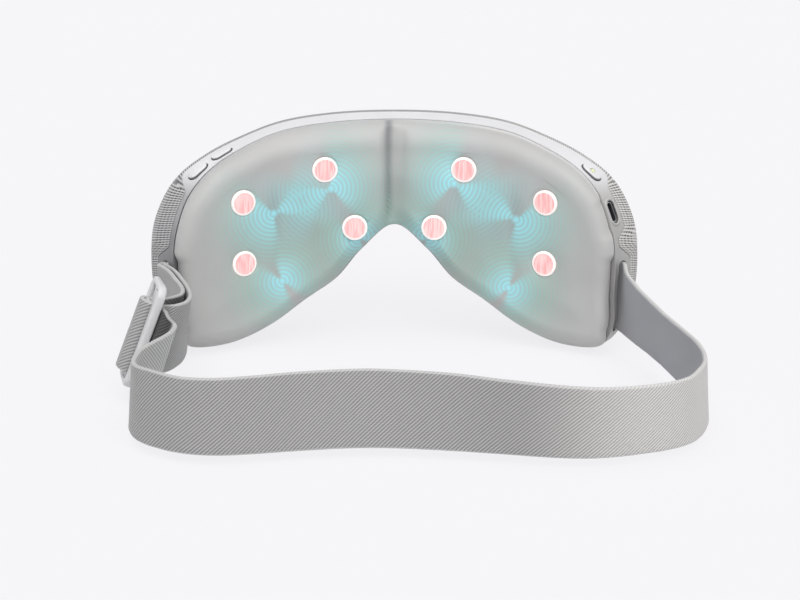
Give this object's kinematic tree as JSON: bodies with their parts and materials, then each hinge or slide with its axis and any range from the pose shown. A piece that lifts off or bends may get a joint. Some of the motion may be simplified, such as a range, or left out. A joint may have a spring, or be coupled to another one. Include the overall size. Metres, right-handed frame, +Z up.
{
  "type": "heated eye massager goggles",
  "caption": "Grey padded heated eye massager goggles with a knit covered front, press buttons, a charging port and an adjustable head strap.",
  "frame": {"origin": "middle of the whole object in X and Y, at the level it stands on", "axes": "+X to the right seen from the face side, +Y from the back of the strap to the front of the visor, +Z up"},
  "size_m": [0.2316, 0.2138, 0.0969],
  "materials": {
    "shell_plastic": "fine satin, pale grey",
    "inner_plastic": "matte",
    "dark_plastic": "matte",
    "knit": "ribbed knit, grey",
    "cushion_skin": "soft smooth synthetic leather",
    "contact_pad": "soft matte, pale pink",
    "webbing": "twill woven webbing",
    "slider_plastic": "smooth, pale grey",
    "steel": "plain",
    "weight_metal": "plain, dense sintered metal",
    "circuit_board": "green solder mask",
    "heater_film": "thin film",
    "bladder": "soft matte",
    "cell": "foil pouch",
    "lens": "clear, yellow-green"
  },
  "bodies": {
    "goggles": {"front_shell": "inner_plastic", "front_fabric": "knit", "mid_frame": "shell_plastic", "inner_plate": "inner_plastic", "cushion": "cushion_skin", "heat_contact_right_1": "contact_pad", "heat_contact_right_2": "contact_pad", "heat_contact_right_3": "contact_pad", "heat_contact_right_4": "contact_pad", "heat_contact_left_1": "contact_pad", "heat_contact_left_2": "contact_pad", "heat_contact_left_3": "contact_pad", "heat_contact_left_4": "contact_pad", "housing_screw_right_1": "steel", "housing_screw_right_2": "steel", "housing_screw_right_3": "steel", "housing_screw_left_1": "steel", "housing_screw_left_2": "steel", "housing_screw_left_3": "steel", "air_bag_right": "bladder", "air_bag_left": "bladder", "heating_film_right": "heater_film", "heating_film_left": "heater_film", "strap_pin_right": "steel", "strap_pin_left": "steel", "mode_switch": "dark_plastic", "level_switch": "dark_plastic", "power_switch": "dark_plastic", "left_button_board": "circuit_board", "right_button_board": "circuit_board", "charge_port_shell": "steel", "charge_port_tongue": "dark_plastic", "main_board": "circuit_board", "board_screw_1": "steel", "board_screw_2": "steel", "battery": "cell", "vibration_motor_right": "steel", "vibration_motor_left": "steel", "pump_motor": "steel", "pump_body": "inner_plastic", "pump_head": "dark_plastic", "valve_body": "dark_plastic", "air_cross": "inner_plastic", "pump_tube": "bladder", "valve_tube": "bladder", "right_air_tube": "bladder", "left_air_tube": "bladder", "ribbon_cable": "heater_film", "strap": "webbing", "slider": "slider_plastic"},
    "mode_button": {"mode_button": "shell_plastic"},
    "level_button": {"level_button": "shell_plastic"},
    "power_button": {"power_button": "shell_plastic", "light_pipe": "lens"},
    "vibration_weight_right": {"vibration_weight_right": "weight_metal"},
    "vibration_weight_left": {"vibration_weight_left": "weight_metal"},
    "pump_crank": {"pump_crank": "steel"},
    "valve_plunger": {"valve_plunger": "steel", "valve_spring": "steel"}
  },
  "joints": [
    {"name": "mode_button_press", "type": "slide", "parent": "goggles", "child": "mode_button", "axis": [0.439, 0.41, -0.7995], "range_m": [0, 0.0005], "stiffness_N_per_m": 1500, "springref_m": -0.0002},
    {"name": "level_button_press", "type": "slide", "parent": "goggles", "child": "level_button", "axis": [0.3378, 0.2616, -0.9041], "range_m": [0, 0.0005], "stiffness_N_per_m": 1500, "springref_m": -0.0002},
    {"name": "power_button_press", "type": "slide", "parent": "goggles", "child": "power_button", "axis": [-0.4434, 0.4195, -0.7921], "range_m": [0, 0.0005], "stiffness_N_per_m": 1500, "springref_m": -0.0002},
    {"name": "vibration_right_spin", "type": "hinge", "parent": "goggles", "child": "vibration_weight_right", "pos_m": [0.05839, 0.07313, 0.02486], "axis": [-0.9177, 0.3973, 0], "continuous": true},
    {"name": "vibration_left_spin", "type": "hinge", "parent": "goggles", "child": "vibration_weight_left", "pos_m": [-0.06825, 0.07313, 0.02486], "axis": [-0.9177, -0.3973, 0], "continuous": true},
    {"name": "pump_crank_spin", "type": "hinge", "parent": "goggles", "child": "pump_crank", "pos_m": [-0.00493, 0.08955, 0.0718], "axis": [1, 0, 0], "continuous": true},
    {"name": "valve_plunger_slide", "type": "slide", "parent": "goggles", "child": "valve_plunger", "axis": [1, 0, 0], "range_m": [0, 0.001], "stiffness_N_per_m": 200, "springref_m": -0.0002}
  ]
}
